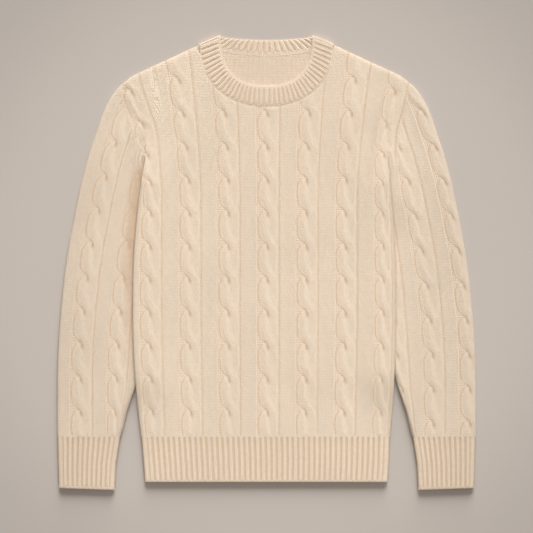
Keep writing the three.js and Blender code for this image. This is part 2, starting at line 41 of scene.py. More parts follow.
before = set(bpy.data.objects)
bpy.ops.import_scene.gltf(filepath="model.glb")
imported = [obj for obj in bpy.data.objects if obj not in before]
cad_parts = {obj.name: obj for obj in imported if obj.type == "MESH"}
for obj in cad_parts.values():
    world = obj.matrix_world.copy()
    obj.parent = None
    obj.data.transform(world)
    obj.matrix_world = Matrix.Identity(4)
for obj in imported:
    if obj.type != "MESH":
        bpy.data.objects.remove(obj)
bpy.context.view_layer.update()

# The tables and lengths below are in millimetres, and a mesh gets its points in metres.
MM = 0.001
BODY = "root"

# Levels along the garment, as in the model
RIB_TOP_Y = -269.95
UNDERARM_Y = 163.5
SHOULDER_POINT_Y = 275.1
SLEEVE_TOP_Y = 274.8
SEAM_GAP = 0.3
ARMHOLE_GAP = -0.8

# Heights of the two layers of cloth
WALL = 2.4
AIR = 1.6
FRONT_HEIGHT = 2 * WALL + AIR
MID_HEIGHT = FRONT_HEIGHT / 2
FOLD_RADIUS = 8
EDGE_ROLL = 1.6  # how far a cut or linked edge rounds down
EDGE_ROLL_RUN = 4
SEAM_HEIGHT = 0.8  # of the knitting beside an armhole's seam

# Places of the cables
CABLES_EACH_SIDE = 3
MIDDLE_CABLE_X = 3.3
WRAP_FROM = 2.5  # in cable pitches
WRAP_TO = 3.45
OUTER_LINES = (2.5, 2.72)
BODY_CROSSING_Y = -229.4
OUTER_CABLE_LAG = 18
OUTER_LAG_RISES = (60, 230)
OUTER_LAG_STARTS = (2.37, 2.63)
# How far the outer cables stray outwards where they run over the armholes' seams
OUTER_DRIFT = [
    {"y": -300, "left": 0, "right": 0},
    {"y": 40, "left": 0, "right": 0},
    {"y": 119, "left": 3, "right": 2},
    {"y": 163, "left": 4.5, "right": 2.7},
    {"y": 221, "left": 7, "right": 1.4},
    {"y": 266, "left": 11, "right": -1},
    {"y": 340, "left": 14, "right": -2},
]
SHOULDER_SPREAD = 0.13
SHOULDER_SPREADS = {"from": 96.9, "to": 283, "power": 1.5}
HEM_DRAW = 0.02
HEM_DRAWS_FROM = -60

# A strand of a cable from where it comes out under a crossing, at 0, over the next one, at 1, and down at 2
STRAND = [
    {"turn": 0.09, "left": -9.6, "right": -8.8, "height": 0.1},
    {"turn": 0.12, "left": -10.9, "right": -7.2, "height": 0.55},
    {"turn": 0.17, "left": -12.3, "right": -5.4, "height": 0.85},
    {"turn": 0.24, "left": -13.4, "right": -3.6, "height": 0.96},
    {"turn": 0.36, "left": -14.2, "right": -1.0, "height": 1.0},
    {"turn": 0.50, "left": -14.5, "right": 0.8, "height": 1.0},
    {"turn": 0.62, "left": -14.3, "right": 1.6, "height": 1.02},
    {"turn": 0.72, "left": -13.7, "right": 2.6, "height": 1.04},
    {"turn": 0.80, "left": -12.6, "right": 4.4, "height": 1.07},
    {"turn": 0.90, "left": -10.4, "right": 7.2, "height": 1.1},
    {"turn": 1.00, "left": -7.4, "right": 10.2, "height": 1.12},
    {"turn": 1.05, "left": -5.2, "right": 11.4, "height": 1.12},
    {"turn": 1.12, "left": -2.6, "right": 12.6, "height": 1.1},
    {"turn": 1.20, "left": -1.4, "right": 13.5, "height": 1.06},
    {"turn": 1.30, "left": -1.8, "right": 13.9, "height": 1.0},
    {"turn": 1.46, "left": -2.8, "right": 14.1, "height": 0.96},
    {"turn": 1.62, "left": -2.0, "right": 13.9, "height": 0.92},
    {"turn": 1.72, "left": -0.4, "right": 13.5, "height": 0.86},
    {"turn": 1.80, "left": 2.2, "right": 12.7, "height": 0.78},
    {"turn": 1.90, "left": 5.0, "right": 11.4, "height": 0.64},
    {"turn": 1.97, "left": 7.0, "right": 10.4, "height": 0.48},
    {"turn": 2.04, "left": 7.8, "right": 9.8, "height": 0.15},
]
STRAND_ENDS = 2.04
STRAND_STARTS = 0.09
STRAND_FLATNESS = 2.0  # exponents of a strand's section
STRAND_STEEPNESS = 1.0
CROSSING_LINE_DROP = 5.4  # from the crossing's middle up to the start of its dark line
STRIP_HEIGHT = 0.75
GUTTER_FLOOR = 0.4
RIGHT_FLOOR_RISE = 0.68
STRIP_EDGE = 18.8
GUTTER_EDGE = 17.2
LIP_HEIGHT = 0.2
LIP_WIDTH = 1.1
# Painted shade lines beside a cable: the hook under a crossing strand, the arch of the one that comes out, and the
# gutter
HOOK = {"left": -15.9, "turn": 10, "over": 0.16, "drift": 6.2}
ARCH = {"top": -9.6, "run": -5.9, "from": 0.05, "to": 0.36}
GUTTER = {"right": 16.4, "width": 1.25, "left_edge": -18.9, "right_edge": 18.2}
CABLE_COLUMN = 1.25
CABLE_EDGE = 15
GUTTER_COLUMNS = (15.9, 16.8, 17.6, 18.4, 19.2, 20, 21, 25)

# Neckline and band
NECK_HALF = 104
NECK_Y = 337
FRONT_NECK_DROP = 95.5
BACK_NECK_DROP = 17
NECK_SQUARENESS = 2.15
BAND_HALF = 70.5
BAND_Y = 350.5
BAND_FRONT_DROP = 75.5
BAND_BACK_DROP = 5
BAND_SQUARENESS = 2.5
BAND_WALL = 3
BAND_FRONT_Z = 5.1
BAND_BACK_Z = BAND_WALL / 2

BODY_EDGE = [
    {"y": -269.7, "left": 194.9, "right": 191.8},
    {"y": -213, "left": 201.1, "right": 196.5},
    {"y": -135.6, "left": 206.1, "right": 199.6},
    {"y": -58, "left": 207.3, "right": 200.3},
    {"y": 19.4, "left": 205, "right": 198.8},
    {"y": 96.9, "left": 198, "right": 194.1},
    {"y": 135.6, "left": 192.6, "right": 191},
    {"y": 163.5, "left": 187.6, "right": 187.6},
    {"y": 196.1, "left": 188.3, "right": 188.3},
    {"y": 214.7, "left": 193.3, "right": 193.3},
    {"y": 230.2, "left": 202, "right": 202},
    {"y": 245.7, "left": 210, "right": 210},
    {"y": 262.7, "left": 219, "right": 219},
    {"y": 275.1, "left": 226.5, "right": 226.5},
]
SHOULDER = [
    {"x": 104, "y": 338.4},
    {"x": 150, "y": 316.8},
    {"x": 190, "y": 298.4},
    {"x": 209, "y": 289.1},
    {"x": 226.5, "y": 275.1},
]
SHOULDER_COSINE = 0.9
SHOULDER_STARTS = (90, 108)
ARMHOLE_OPENS = (112, 152)
HEM = [
    {"y": -341, "left": 188.8, "right": 188.2},
    {"y": -310, "left": 191.2, "right": 190.2},
    {"y": -270, "left": 194.6, "right": 191.5},
]
CUFF = [
    {"t": 0, "outer": 322.4, "outer_y": -350.4, "inner": 235.6, "inner_y": -353.4},
    {"t": 0.5, "outer": 323.5, "outer_y": -312, "inner": 233.4, "inner_y": -313},
    {"t": 1, "outer": 324.6, "outer_y": -270, "inner": 226.6, "inner_y": -270},
]
SLEEVE_OUTER = [
    {"y": -269.7, "x": 324.8},
    {"y": -175.9, "x": 324.8},
    {"y": -120.1, "x": 322.8},
    {"y": -64.3, "x": 318.4},
    {"y": -17.8, "x": 313.5},
    {"y": 28.7, "x": 306.5},
    {"y": 75.2, "x": 297.5},
    {"y": 121.7, "x": 287.9},
    {"y": 168.2, "x": 275.5},
    {"y": 196.1, "x": 266.2},
    {"y": 224, "x": 256.9},
    {"y": 242.6, "x": 249.2},
    {"y": 261.2, "x": 238.3},
    {"y": 275.1, "x": 227.1},
]
SLEEVE_INNER = [
    {"y": -269.7, "x": 226.2},
    {"y": -255, "x": 222},
    {"y": -231.7, "x": 216.6},
    {"y": -213.1, "x": 210.4},
    {"y": -194.5, "x": 204.2},
    {"y": -160, "x": 196},
    {"y": -120, "x": 190},
    {"y": -58, "x": 184},
    {"y": 20, "x": 178},
    {"y": 75, "x": 175.5},
    {"y": 105, "x": 177.5},
    {"y": 125, "x": 182.5},
    {"y": 140, "x": 186},
    {"y": 150, "x": 187.2},
    {"y": 163.5, "x": 187.8},
]
SLEEVE_FLAT = 70
SLEEVE_WIDTH = 134
RELIEF_CLEARS = (-2, 6)
JOINS = (126, 176)
SEAM_STEP = 0.2
# For each sleeve, "shaded" is the span beside the body and "shade" the strength of the body's shadow painted on it.
SLEEVE_LEFT = {"side": 1, "first": 7.8, "spacing": 56.6, "crossing": -246.5, "pitch": 53.6, "last": 1,
                "tucked": 3.9, "valley": 3, "follows": (30, 110), "shaded": (5, 0), "shade": 0.25}
SLEEVE_RIGHT = {"side": -1, "first": 38.5, "spacing": 56.8, "crossing": -229.4, "pitch": 52.2, "last": 0,
                 "tucked": 3.4, "valley": 11, "follows": (150, 185), "shaded": (24, 5), "shade": 1.2}

TUCK_LIFT = 5.4
TUCK_ACROSS = (72, 30)
TUCK_TOP = (205, 112)
TUCK_BOTTOM = (-238, -168)

# Soft creases: place of the middle, direction of the run in degrees from +X, half lengths along and across, height
CREASES = [
    {"x": -188, "y": 213, "turn": -42, "along": 11, "across": 5, "height": -0.7},
    {"x": -190, "y": 189, "turn": -88, "along": 19, "across": 4, "height": -1.3},
    {"x": -207, "y": 198, "turn": 84, "along": 20, "across": 11, "height": 1.2},
    {"x": -206, "y": 174, "turn": -14, "along": 13, "across": 9, "height": -0.45},
    {"x": -213, "y": 251, "turn": -62, "along": 15, "across": 4, "height": 0.6},
    {"x": -219, "y": 266, "turn": -50, "along": 8, "across": 3, "height": -0.9},
    {"x": -223, "y": 236, "turn": 88, "along": 23, "across": 5, "height": -0.9},
    {"x": -196, "y": 232, "turn": -60, "along": 16, "across": 6, "height": -0.5},
    {"x": -236, "y": 196, "turn": 74, "along": 40, "across": 10, "height": 0.7},
    {"x": 213, "y": 249, "turn": 66, "along": 24, "across": 4.5, "height": 1.0},
    {"x": 205, "y": 262, "turn": 60, "along": 14, "across": 5, "height": -0.8},
    {"x": 199, "y": 186, "turn": 90, "along": 26, "across": 4.5, "height": -0.9},
    {"x": 157, "y": 141, "turn": 88, "along": 24, "across": 8, "height": -1.2},
    {"x": 176, "y": 120, "turn": 92, "along": 44, "across": 9, "height": 0.8},
    {"x": 228, "y": 200, "turn": 104, "along": 36, "across": 9, "height": -0.8},
    {"x": 262, "y": 120, "turn": 106, "along": 60, "across": 12, "height": 0.7},
    {"x": -262, "y": 60, "turn": 80, "along": 70, "across": 12, "height": -0.6},
    {"x": -120, "y": 40, "turn": 86, "along": 110, "across": 22, "height": 0.7},
    {"x": 62, "y": -120, "turn": 95, "along": 120, "across": 24, "height": 0.6},
    {"x": -30, "y": -60, "turn": 92, "along": 120, "across": 20, "height": -0.6},
]


class SweaterSizes(bpy.types.PropertyGroup):
    """Sizes of the knitting."""

    cable_pitch: FloatProperty(
        name="Cable pitch", description="From one cable's middle to the next", default=0.0605, unit="LENGTH"
    )
    crossing_pitch: FloatProperty(
        name="Crossing pitch", description="From one crossing of a cable to the next", default=0.0515, unit="LENGTH"
    )
    cable_height: FloatProperty(
        name="Cable height", description="Height of a cable above its gutters", default=0.0012, unit="LENGTH"
    )
    rib_height: FloatProperty(
        name="Rib height", description="Height of a rib above its valleys", default=0.0008, unit="LENGTH"
    )
    stitch_width: FloatProperty(
        name="Stitch width", description="Width of one knit stitch", default=0.0034, unit="LENGTH"
    )
    stitch_height: FloatProperty(
        name="Stitch height", description="Height of one knit stitch", default=0.0024, unit="LENGTH"
    )
    stitch_relief: FloatProperty(
        name="Stitch relief", description="Height of a stitch on the cloth", default=0.0005, unit="LENGTH"
    )
    hem_ribs: IntProperty(name="Hem ribs", description="Ribs on the front of the hem band", default=46)
    cuff_ribs: IntProperty(name="Cuff ribs", description="Ribs on the upper side of a cuff", default=12)
    neck_front_ribs: IntProperty(name="Neck ribs, front", description="Ribs on the front of the neckband", default=39)
    neck_back_ribs: IntProperty(name="Neck ribs, back", description="Ribs on the back of the neckband", default=19)


class SweaterColours(bpy.types.PropertyGroup):
    """Colours of the wool and of the surface."""

    wool: FloatVectorProperty(
        name="Wool", description="Colour of the yarn", default=(0.788, 0.656, 0.516), size=3, subtype="COLOR"
    )
    # The colour of painted shade deep between the stitches, in the creases and beside the body.
    shade: FloatVectorProperty(
        name="Between stitches", description="Colour deep between the stitches", default=(0.59, 0.42, 0.28), size=3,
        subtype="COLOR",
    )
    surface: FloatVectorProperty(
        name="Surface", description="Colour of what it lies on", default=(0.482, 0.428, 0.383), size=3, subtype="COLOR"
    )


def sizes():
    return bpy.context.scene.sweater_sizes


def colours():
    return bpy.context.scene.sweater_colours


# Curves

def ease(start, end, value):
    """Rises smoothly from 0 at start to 1 at end, in either direction."""
    t = np.clip((np.asarray(value, float) - start) / (end - start), 0, 1)
    return t * t * (3 - 2 * t)


def mix(a, b, t):
    return a + (b - a) * t


def curve(rows, key, value, samples=800):
    """One column of a table as a smooth curve over another, which rises from row to row."""
    t = np.array([row[key] for row in rows], float)
    v = np.array([row[value] for row in rows], float)
    last = len(rows) - 1
    before = np.maximum(np.arange(last + 1) - 1, 0)
    after = np.minimum(np.arange(last + 1) + 1, last)
    slope = (v[after] - v[before]) / (t[after] - t[before])
    at = np.linspace(t[0], t[-1], samples)
    i = np.clip(np.searchsorted(t, at, side="right") - 1, 0, last - 1)
    h = t[i + 1] - t[i]
    s = (at - t[i]) / h
    start = (2 * s**3 - 3 * s**2 + 1) * v[i] + (s**3 - 2 * s**2 + s) * h * slope[i]
    end = (3 * s**2 - 2 * s**3) * v[i + 1] + (s**3 - s**2) * h * slope[i + 1]
    return lambda x: np.interp(x, at, start + end)


edge_left = curve(BODY_EDGE, "y", "left")
edge_right = curve(BODY_EDGE, "y", "right")
shoulder_y = curve(SHOULDER, "x", "y")
drift_left = curve(OUTER_DRIFT, "y", "left")
drift_right = curve(OUTER_DRIFT, "y", "right")
sleeve_outer = curve(SLEEVE_OUTER, "y", "x")
sleeve_inner = curve(SLEEVE_INNER, "y", "x")


def edge_at(side, y):
    return np.where(side < 0, edge_left(y), edge_right(y))


def round_over(distance, radius):
    """How far cloth has risen at a distance in from a fold: 0 at the fold, 1 on the flat."""
    q = np.clip(distance / radius, 0, 1)
    return np.sqrt(1 - (1 - q) ** 2)


def edge_roll(distance):
    """How far cloth drops at a distance from an edge."""
    return EDGE_ROLL * (1 - round_over(distance, EDGE_ROLL_RUN))


def turn_away(at, start, end, edge):
    """Squeezes the span from start to end so that it ends at edge."""
    room = edge - start
    t = np.clip((at - start) / (end - start), 0, 1)
    return np.where(at <= start, at, start + room * (1 - (1 - t) ** np.minimum(2, (end - start) / room)))


def creases(x, y):
    """Height of the soft troughs and ridges at a place."""
    height = np.zeros_like(x)
    for row in CREASES:
        turn = math.radians(row["turn"])
        dx, dy = x - row["x"], y - row["y"]
        along = (dx * math.cos(turn) + dy * math.sin(turn)) / row["along"]
        across = (dy * math.cos(turn) - dx * math.sin(turn)) / row["across"]
        height += row["height"] * np.exp(-(along**2) - across**2)
    return height


def hollow(x, y):
    """How much painted shade a trough lays on the cloth's colour at a place."""
    return np.clip((-creases(x, y) - 0.6) / 1.4, 0, 1)


# Knitting

strand_left = curve(STRAND, "turn", "left")
strand_right = curve(STRAND, "turn", "right")
strand_height = curve(STRAND, "turn", "height")


def cable_cloth(x, turn):
    """Height, place across the stitches and evenness of the cloth at x from a cable's middle and a turn of it."""
    distance = np.abs(x)
    turn = np.mod(turn, 1)
    heights, places, edges = [], [], []
    for t in (turn, turn + 1, turn + 2):
        left, right = strand_left(t), strand_right(t)
        q = np.abs((2 * x - left - right) / (right - left))
        there = (t > STRAND_STARTS) & (t < STRAND_ENDS)
        height = strand_height(t) * there
        edges.append(np.where(there, np.minimum(np.abs(x - left), np.abs(x - right)), np.inf))
        heights.append(height * np.clip(1 - q**STRAND_FLATNESS, 0, 1) ** STRAND_STEEPNESS)
        places.append(x - (left + right) / 2)
    heights[1] = np.maximum(heights[1], heights[2])
    crossing = np.clip(1 - ease(0.22, 0.45, turn) + ease(0.8, 0.95, turn), 0, 1)
    sharp = 3 + 12 * crossing
    rope = (heights[0] ** sharp + heights[1] ** sharp) ** (1 / sharp)
    strip = mix(GUTTER_FLOOR, STRIP_HEIGHT, ease(GUTTER_EDGE - 0.6, STRIP_EDGE + 0.2, distance))
    rises = mix(-3, 3, crossing)
    floor = GUTTER_FLOOR + RIGHT_FLOOR_RISE * ease(rises, rises + 5, x) * ease(16.2, 13.4, x)
    lip = LIP_HEIGHT * np.exp(-(((distance - STRIP_EDGE - LIP_WIDTH) / LIP_WIDTH) ** 2))
    on_cable = distance < CABLE_EDGE
    height = np.where(on_cable, mix(floor, sizes().cable_height / MM, rope), strip + lip)
    place = np.where(on_cable & (rope > 0.05), np.where(heights[0] > heights[1], places[0], places[1]), x)
    return height, place, ease(0.8, 2.2, np.min(edges, axis=0))


def rib_height(phase):
    """Height share of ribbing: a round rib and a narrow valley in each whole number."""
    return np.clip(0.56 - 0.6 * np.cos(2 * np.pi * phase), 0, 1) ** 0.9


# Meshes

def shaped_cloth(name, outer, inner, tube):
    """A closed piece of cloth from one grid, which is bent over at both ends.

    Each skin is a dict of arrays with a row for each line of stitches: x, y and z in millimetres, across and along in
    stitches, and what its finish reads from the cloth. A tube's last line meets its first one.
    """
    columns = outer["x"].shape[0]

    def whole(key):
        skins = [np.broadcast_to(skin.get(key, 0), skin["x"].shape) for skin in (outer, inner)]
        return np.hstack([skins[0], skins[1], skins[0][:, :1]]).T.ravel()

    rows = outer["x"].shape[1] + inner["x"].shape[1] + 1
    bpy.ops.object.select_all(action="DESELECT")
    bpy.ops.mesh.primitive_grid_add(x_subdivisions=columns - 1, y_subdivisions=rows - 1, size=1)
    piece = bpy.context.object
    mesh = piece.data
    piece.name = mesh.name = name
    mesh.vertices.foreach_set("co", (np.stack([whole(axis) for axis in "xyz"], axis=-1) * MM).ravel())
    corner = np.empty(len(mesh.loops), int)
    mesh.loops.foreach_get("vertex_index", corner)
    mesh.uv_layers[0].name = "Stitches"
    stitches = np.stack([whole("across"), whole("along")], axis=-1)
    mesh.uv_layers[0].data.foreach_set("uv", stitches[corner].ravel())
    for title in outer.keys() - {"x", "y", "z", "across", "along"}:
        mesh.attributes.new(title, "FLOAT", "POINT").data.foreach_set("value", whole(title))
    mesh.update()
    bpy.ops.object.mode_set(mode="EDIT")
    bpy.ops.mesh.select_all(action="SELECT")
    bpy.ops.mesh.remove_doubles(threshold=1e-6)
    if not tube:
        bpy.ops.mesh.select_all(action="DESELECT")
        bpy.ops.mesh.select_mode(type="EDGE")
        bpy.ops.mesh.select_non_manifold()
        bpy.ops.mesh.fill_holes(sides=0)
    bpy.ops.object.mode_set(mode="OBJECT")
    bpy.ops.object.shade_smooth_by_angle(angle=math.radians(70))
    return piece


def settle(piece, finish):
    """Gives a finished piece its finish and its body, and hides the solid that it stands for."""
    piece.data.materials.clear()
    piece.data.materials.append(wool_material(finish))
    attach(piece, BODY)
    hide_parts(piece.name.removesuffix("_knit"))


def cable_lines(middles, pitch):
    """Places of a mesh's lines over a row of cables, close together on each cable, counted in pitches."""
    steps = np.arange(0, CABLE_EDGE + 0.1, CABLE_COLUMN)
    offsets = np.concatenate([-steps, steps, GUTTER_COLUMNS, np.negative(GUTTER_COLUMNS)]) / pitch
    lines = np.concatenate([middle + offsets for middle in middles])
    lines = np.sort(np.concatenate([lines, np.array(middles) + 0.5, np.array(middles) - 0.5]))
    return lines[np.append(True, np.diff(lines) > 1e-6)]


# The body

def spread(y):
    """The cables spread towards the shoulders and draw in a little towards the hem."""
    levels = SHOULDER_SPREADS
    rise = np.maximum(0, (y - levels["from"]) / (levels["to"] - levels["from"])) ** levels["power"]
    return 1 + SHOULDER_SPREAD * rise - HEM_DRAW * ease(HEM_DRAWS_FROM, RIB_TOP_Y, y)


def body_x(line, y, inset=0):
    """x of a line of stitches, which is numbered in cable pitches from the middle cable."""
    side = np.where(line < 0, -1, 1)
    pitch = sizes().cable_pitch / MM * spread(y)
    edge = (edge_at(side, y) - inset * (1 - ease(*ARMHOLE_OPENS, y)) - side * MIDDLE_CABLE_X) / pitch
    return MIDDLE_CABLE_X + side * pitch * turn_away(np.abs(line), WRAP_FROM, WRAP_TO, edge)


def outer_cable(x, y):
    """Place on the outer cable, which runs over the armhole's seam: in cable pitches from the middle cable."""
    side = np.where(x < 0, -1, 1)
    drift = np.where(x < 0, drift_left(y), drift_right(y))
    middle = np.abs(body_x(side * CABLES_EACH_SIDE, y)) + drift
    return side * (CABLES_EACH_SIDE + (np.abs(x) - middle) / (sizes().cable_pitch / MM))


def body_turn(line, y):
    """Place between the crossings of a cable of the body."""
    lag = OUTER_CABLE_LAG * ease(*OUTER_LAG_RISES, y) * ease(*OUTER_LAG_STARTS, np.abs(line))
    return (CROSSING_LINE_DROP - (y + lag - BODY_CROSSING_Y)) / (sizes().crossing_pitch / MM)


def body_rise(x, y, inset=0):
    """How far a point has risen from the body's folds: the sides below the underarm, and the shoulder seams."""
    radius = FOLD_RADIUS - inset
    side = round_over(edge_at(x, y) - inset - np.abs(x), radius)
    shoulder = round_over((shoulder_y(np.maximum(np.abs(x), NECK_HALF)) - y) * SHOULDER_COSINE - inset, radius)
    return mix(side, 1, ease(*ARMHOLE_OPENS, y)) * mix(1, shoulder, ease(*SHOULDER_STARTS, np.abs(x)))


def body_lift(x, y):
    """How high the body rides over a tucked sleeve."""
    from_edge = edge_at(x, y) - np.abs(x)
    return TUCK_LIFT * ease(*TUCK_BOTTOM, y) * ease(*TUCK_TOP, y) * ease(*TUCK_ACROSS, from_edge)


def front_neck_y(x):
    drop = np.clip(1 - (np.abs(x) / NECK_HALF) ** NECK_SQUARENESS, 0, 1) ** (1 / NECK_SQUARENESS)
    return NECK_Y - FRONT_NECK_DROP * drop


def back_neck_y(x):
    return NECK_Y - BACK_NECK_DROP * (1 - (x / NECK_HALF) ** 2)


def scoop(half, y, drop, squareness, angle):
    """Points of the inside of a neckline, a superellipse that is open at the top."""
    across = -half * np.sign(np.cos(angle)) * np.abs(np.cos(angle)) ** (2 / squareness)
    return np.stack([across, y - drop * np.sin(angle) ** (2 / squareness)], axis=-1)


def neck_distance(x, y):
    """Distance from the front neckline, close to it."""
    outline = scoop(NECK_HALF, NECK_Y, FRONT_NECK_DROP, NECK_SQUARENESS, np.linspace(0, np.pi, 241))
    near = np.full(x.shape, 99.0)
    for px, py in outline:
        near = np.minimum(near, np.hypot(x - px, y - py))
    return near


def body_grid(lines, levels, neck_y, high_rows, inset=0):
    """Lines of stitches and heights of the body's points: rows at the levels, then rows to the upper edge."""
    tops = np.full_like(lines, SHOULDER_POINT_Y)
    for _ in range(40):
        x = np.abs(body_x(lines, tops))
        neck = neck_y(np.minimum(x, NECK_HALF))
        tops = mix(tops, np.where(x < NECK_HALF, neck, shoulder_y(np.maximum(x, NECK_HALF))), 0.5)
    tops = tops - np.where(np.abs(body_x(lines, tops)) < NECK_HALF, 0, inset / SHOULDER_COSINE)
    level = levels[-1]
    high = level + (tops[:, None] - level) * (np.arange(high_rows) + 1)[None, :] / high_rows
    y = np.hstack([np.repeat(levels[None, :], len(lines), axis=0), high])
    return np.repeat(lines[:, None], y.shape[1], axis=1), y


def inner_body(lines, neck_y, seam, flat):
    """The plain inner skin of a body panel, from its upper edge down."""
    s = sizes()
    line, y = body_grid(lines, INNER_LEVELS, neck_y, 8, WALL)
    x = body_x(line, y, WALL)
    z = body_lift(x, y) + mix(seam, flat, body_rise(x, y, WALL))
    skin = {"x": x, "y": y, "z": z, "across": line * s.cable_pitch / s.stitch_width, "along": y * MM / s.stitch_height}
    return {key: v[:, ::-1] for key, v in skin.items()}


INNER_LEVELS = np.array(
    [RIB_TOP_Y, -262, -240, -228, -216, -204, -192, -180, -168, -150, -100, -50, 0, 50, 100, 116, 124, 132, 140,
     148, 156, 164, 176, 200, NECK_Y - FRONT_NECK_DROP - 5]
)


def make_front():
    s = sizes()
    pitch = s.cable_pitch / MM
    lines = cable_lines(range(-CABLES_EACH_SIDE, CABLES_EACH_SIDE + 1), pitch)
    lines = lines[np.abs(lines) < WRAP_TO - 0.1]
    rim = WRAP_TO - np.array([0.085, 0.05, 0.025, 0.01, 0])
    lines = np.concatenate([-rim[::-1], lines, rim])
    levels = np.linspace(RIB_TOP_Y, NECK_Y - FRONT_NECK_DROP - 5, 250)
    line, y = body_grid(lines, levels, front_neck_y, 48)
    x = body_x(line, y)
    line = mix(line, outer_cable(x, y), ease(*OUTER_LINES, np.abs(line)) * ease(*ARMHOLE_OPENS, y))
    cable = np.clip(np.round(line), -CABLES_EACH_SIDE, CABLES_EACH_SIDE)
    turn = body_turn(line, y)
    relief, place, even = cable_cloth((line - cable) * pitch, turn)
    to_neck = neck_distance(x, y)
    to_hem = y - RIB_TOP_Y
    relief = relief * ease(-3, 5, to_neck)
    relief = mix(SEAM_HEIGHT, relief, ease(0, 5, to_hem))
    shown = ease(0.5, 4, to_neck) * ease(0, 3, to_hem)
    flat = FRONT_HEIGHT + relief + creases(x, y) * ease(0, 20, to_hem)
    seam = MID_HEIGHT + SEAM_GAP / 2
    z = body_lift(x, y) + mix(seam, flat, body_rise(x, y))
    across = (place + cable * pitch) * MM / s.stitch_width
    outer = {"x": x, "y": y, "z": z, "across": across, "along": y * MM / s.stitch_height}
    # The creases' troughs get painted shade as well as their height.
    outer.update(line=line, turn=turn, shown=shown, spacing=np.full_like(x, pitch), hollow=hollow(x, y), even=even)
    inner = inner_body(lines, front_neck_y, seam, FRONT_HEIGHT - WALL)
    piece = shaped_cloth("front_knit", outer, inner, tube=False)
    settle(piece, "cable_knit")


def make_back():
    s = sizes()
    rim = WRAP_TO - np.array([0.17, 0.085, 0.05, 0.025, 0.01, 0])
    lines = np.concatenate([-rim[::-1], np.linspace(-3.2, 3.2, 97), rim])[::-1]
    levels = np.linspace(RIB_TOP_Y, NECK_Y - FRONT_NECK_DROP - 5, 110)
    line, y = body_grid(lines, levels, back_neck_y, 32)
    x = body_x(line, y)
    to_armhole = np.where(y > UNDERARM_Y - 12, edge_at(x, y) - np.abs(x), 99)
    flat = 0.3 * edge_roll(to_armhole) + 0.3 * edge_roll(y - RIB_TOP_Y)
    seam = MID_HEIGHT - SEAM_GAP / 2
    z = body_lift(x, y) + mix(seam, flat, body_rise(x, y))
    outer = {"x": x, "y": y, "z": z, "across": line * s.cable_pitch / s.stitch_width, "along": y * MM / s.stitch_height}
    inner = inner_body(lines, back_neck_y, seam, WALL)
    piece = shaped_cloth("back_knit", outer, inner, tube=False)
    settle(piece, "plain_knit")


# Sleeves

def sleeve_width(y):
    level = np.minimum(y, UNDERARM_Y)
    return sleeve_outer(level) - sleeve_inner(level)


def sleeve_x(across, y, inset=0):
    width = sleeve_width(y)
    at = turn_away(across, SLEEVE_FLAT, SLEEVE_WIDTH, width)
    return sleeve_outer(y) - mix(inset, width - inset, at / width)


def sleeve_rise(x, y, inset=0):
    outer = sleeve_outer(y) - x
    radius = FOLD_RADIUS - inset
    inner = round_over(sleeve_width(y) - outer - inset, radius)
    return round_over(outer - inset, radius) * mix(inner, 1, ease(*ARMHOLE_OPENS, y))


def sleeve_skin(shape, across, below, low_rows, high_rows, inset=0):
    """Points of a sleeve's lines from the cuff up to the armhole's seam."""
    side = shape["side"]
    low = np.full(across.shape, UNDERARM_Y)
    high = np.full(across.shape, SLEEVE_TOP_Y)
    for _ in range(30):
        middle = (low + high) / 2
        clear = sleeve_x(across, middle, inset) > edge_at(side, middle) + ARMHOLE_GAP
        low = np.where(clear, middle, low)
        high = np.where(clear, high, middle)
    level = UNDERARM_Y - 3
    up = level + (low[:, None] - level) * (np.arange(high_rows) + 1)[None, :] / high_rows
    y = np.hstack([np.repeat(np.linspace(RIB_TOP_Y, level, low_rows)[None, :], len(across), axis=0), up])
    across = np.repeat(across[:, None], y.shape[1], axis=1)
    below = np.repeat(below[:, None], y.shape[1], axis=1)
    return across, below, sleeve_x(across, y, inset), y


